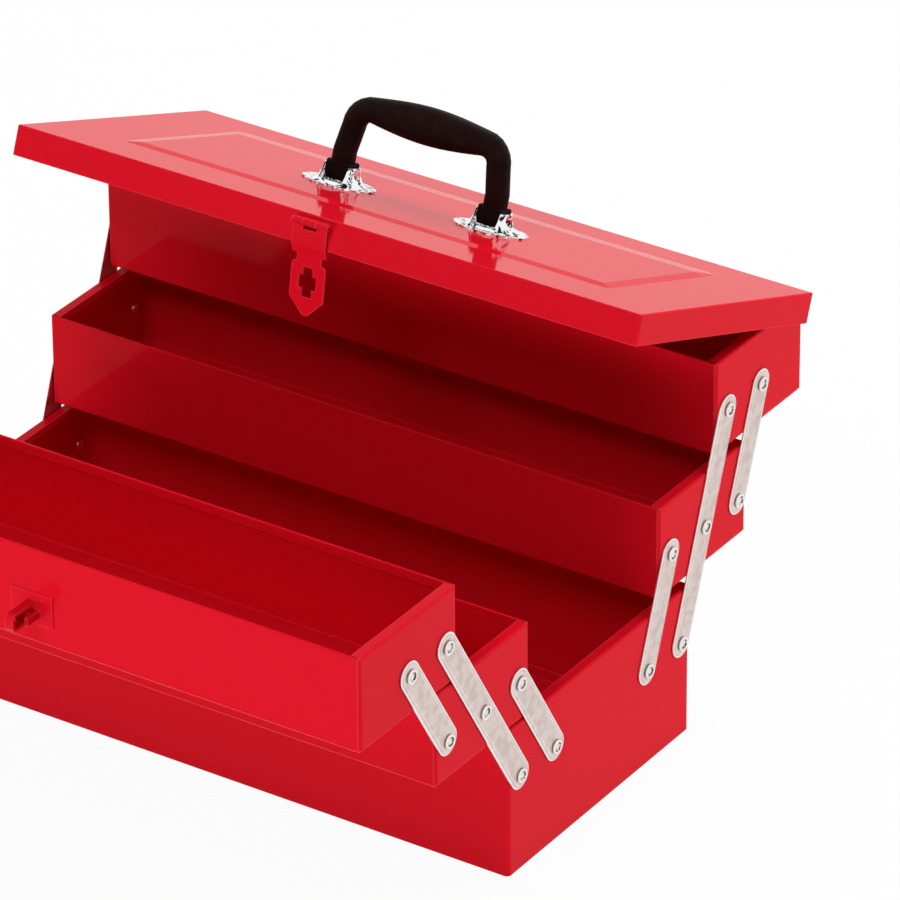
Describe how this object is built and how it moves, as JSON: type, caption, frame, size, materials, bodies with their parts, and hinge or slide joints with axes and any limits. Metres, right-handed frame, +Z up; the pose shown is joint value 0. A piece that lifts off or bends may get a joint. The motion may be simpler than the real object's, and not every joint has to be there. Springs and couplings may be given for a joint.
{
  "type": "cantilever tool box",
  "caption": "Sheet-steel cantilever tool box with tiered trays that swing apart on riveted arms, a full-depth hinged lid, carrying handle and slotted hasp.",
  "frame": {"origin": "on the floor, in the middle of the base's underside", "axes": "+X along the box to the right as seen from the hasp side, +Y from the hasp side to the hinge side, +Z up"},
  "size_m": [0.4678, 0.527, 0.3449],
  "materials": {
    "red_paint": "high gloss baked enamel",
    "arm_zinc": "satin zinc plate",
    "rivet_steel": "plated steel",
    "hinge_zinc": "satin zinc plate",
    "bracket_chrome": "bright chrome plate",
    "handle_plastic": "satin moulded plastic"
  },
  "bodies": {
    "base": {"base_walls": "red_paint", "base_floor": "red_paint", "base_rivets": "rivet_steel"},
    "front_lower_tray": {"front_lower_channel": "red_paint", "front_lower_end_left": "red_paint", "front_lower_end_right": "red_paint", "front_lower_rivets": "rivet_steel"},
    "front_upper_tray": {"front_upper_channel": "red_paint", "front_upper_end_left": "red_paint", "front_upper_end_right": "red_paint", "front_upper_rivets": "rivet_steel", "staple": "red_paint"},
    "front_long_arms": {"front_long_arm_left": "arm_zinc", "front_long_arm_right": "arm_zinc"},
    "front_inner_arms": {"front_inner_arm_left": "arm_zinc", "front_inner_arm_right": "arm_zinc"},
    "front_outer_arms": {"front_outer_arm_left": "arm_zinc", "front_outer_arm_right": "arm_zinc"},
    "rear_lower_tray": {"rear_lower_channel": "red_paint", "rear_lower_end_left": "red_paint", "rear_lower_end_right": "red_paint", "rear_lower_rivets": "rivet_steel"},
    "rear_upper_tray": {"rear_upper_channel": "red_paint", "rear_upper_end_left": "red_paint", "rear_upper_end_right": "red_paint", "rear_upper_rivets": "rivet_steel", "hinge_tray_leaves": "hinge_zinc", "hinge_pins": "rivet_steel"},
    "rear_long_arms": {"rear_long_arm_left": "arm_zinc", "rear_long_arm_right": "arm_zinc"},
    "rear_inner_arms": {"rear_inner_arm_left": "arm_zinc", "rear_inner_arm_right": "arm_zinc"},
    "rear_outer_arms": {"rear_outer_arm_left": "arm_zinc", "rear_outer_arm_right": "arm_zinc"},
    "lid": {"lid_shell": "red_paint", "hinge_lid_leaves": "hinge_zinc", "handle_bracket_left": "bracket_chrome", "handle_bracket_right": "bracket_chrome", "bracket_rivets": "bracket_chrome", "hasp_leaf": "red_paint", "hasp_pin": "rivet_steel"},
    "handle": {"handle": "handle_plastic", "handle_pins": "bracket_chrome"},
    "hasp": {"hasp_plate": "red_paint"}
  },
  "joints": [
    {"name": "front_swing", "type": "hinge", "parent": "base", "child": "front_long_arms", "pos_m": [0, -0.0915, 0.0678], "axis": [1, 0, 0], "range_deg": [-62.24, 0]},
    {"name": "front_lower_level", "type": "hinge", "parent": "front_long_arms", "child": "front_lower_tray", "pos_m": [0, -0.1305, 0.1324], "axis": [1, 0, 0], "range_deg": [0, 62.24]},
    {"name": "front_upper_level", "type": "hinge", "parent": "front_long_arms", "child": "front_upper_tray", "pos_m": [0, -0.1695, 0.197], "axis": [1, 0, 0], "range_deg": [0, 62.24]},
    {"name": "front_inner_swing", "type": "hinge", "parent": "base", "child": "front_inner_arms", "pos_m": [0, -0.0525, 0.0678], "axis": [1, 0, 0], "range_deg": [-62.24, 0]},
    {"name": "front_outer_swing", "type": "hinge", "parent": "front_lower_tray", "child": "front_outer_arms", "pos_m": [0, -0.1695, 0.1324], "axis": [1, 0, 0], "range_deg": [-62.24, 0]},
    {"name": "rear_swing", "type": "hinge", "parent": "base", "child": "rear_long_arms", "pos_m": [0, 0.0915, 0.0678], "axis": [-1, 0, 0], "range_deg": [-51.4, 10.8]},
    {"name": "rear_lower_level", "type": "hinge", "parent": "rear_long_arms", "child": "rear_lower_tray", "pos_m": [0, 0.11768, 0.13857], "axis": [-1, 0, 0], "range_deg": [-10.8, 51.4]},
    {"name": "rear_upper_level", "type": "hinge", "parent": "rear_long_arms", "child": "rear_upper_tray", "pos_m": [0, 0.14386, 0.20935], "axis": [-1, 0, 0], "range_deg": [-10.8, 51.4]},
    {"name": "rear_inner_swing", "type": "hinge", "parent": "base", "child": "rear_inner_arms", "pos_m": [0, 0.0525, 0.0678], "axis": [-1, 0, 0], "range_deg": [-51.4, 10.8]},
    {"name": "rear_outer_swing", "type": "hinge", "parent": "rear_lower_tray", "child": "rear_outer_arms", "pos_m": [0, 0.15668, 0.13857], "axis": [-1, 0, 0], "range_deg": [-51.4, 10.8]},
    {"name": "lid_hinge", "type": "hinge", "parent": "rear_upper_tray", "child": "lid", "pos_m": [0, 0.23616, 0.22455], "axis": [-1, 0, 0], "range_deg": [-20.8, 74.2]},
    {"name": "handle_swing", "type": "hinge", "parent": "lid", "child": "handle", "pos_m": [0, 0.1466, 0.29248], "axis": [-1, 0, 0], "range_deg": [-83, 83]},
    {"name": "hasp_swing", "type": "hinge", "parent": "lid", "child": "hasp", "pos_m": [-0.0045, 0.03651, 0.31878], "axis": [1, 0, 0], "range_deg": [-160, 0]}
  ],
  "couplings": [
    {"joint": "front_lower_level", "follows": "front_swing", "ratio": -1},
    {"joint": "front_upper_level", "follows": "front_swing", "ratio": -1},
    {"joint": "front_inner_swing", "follows": "front_swing", "ratio": 1},
    {"joint": "front_outer_swing", "follows": "front_swing", "ratio": 1},
    {"joint": "rear_lower_level", "follows": "rear_swing", "ratio": -1},
    {"joint": "rear_upper_level", "follows": "rear_swing", "ratio": -1},
    {"joint": "rear_inner_swing", "follows": "rear_swing", "ratio": 1},
    {"joint": "rear_outer_swing", "follows": "rear_swing", "ratio": 1}
  ]
}
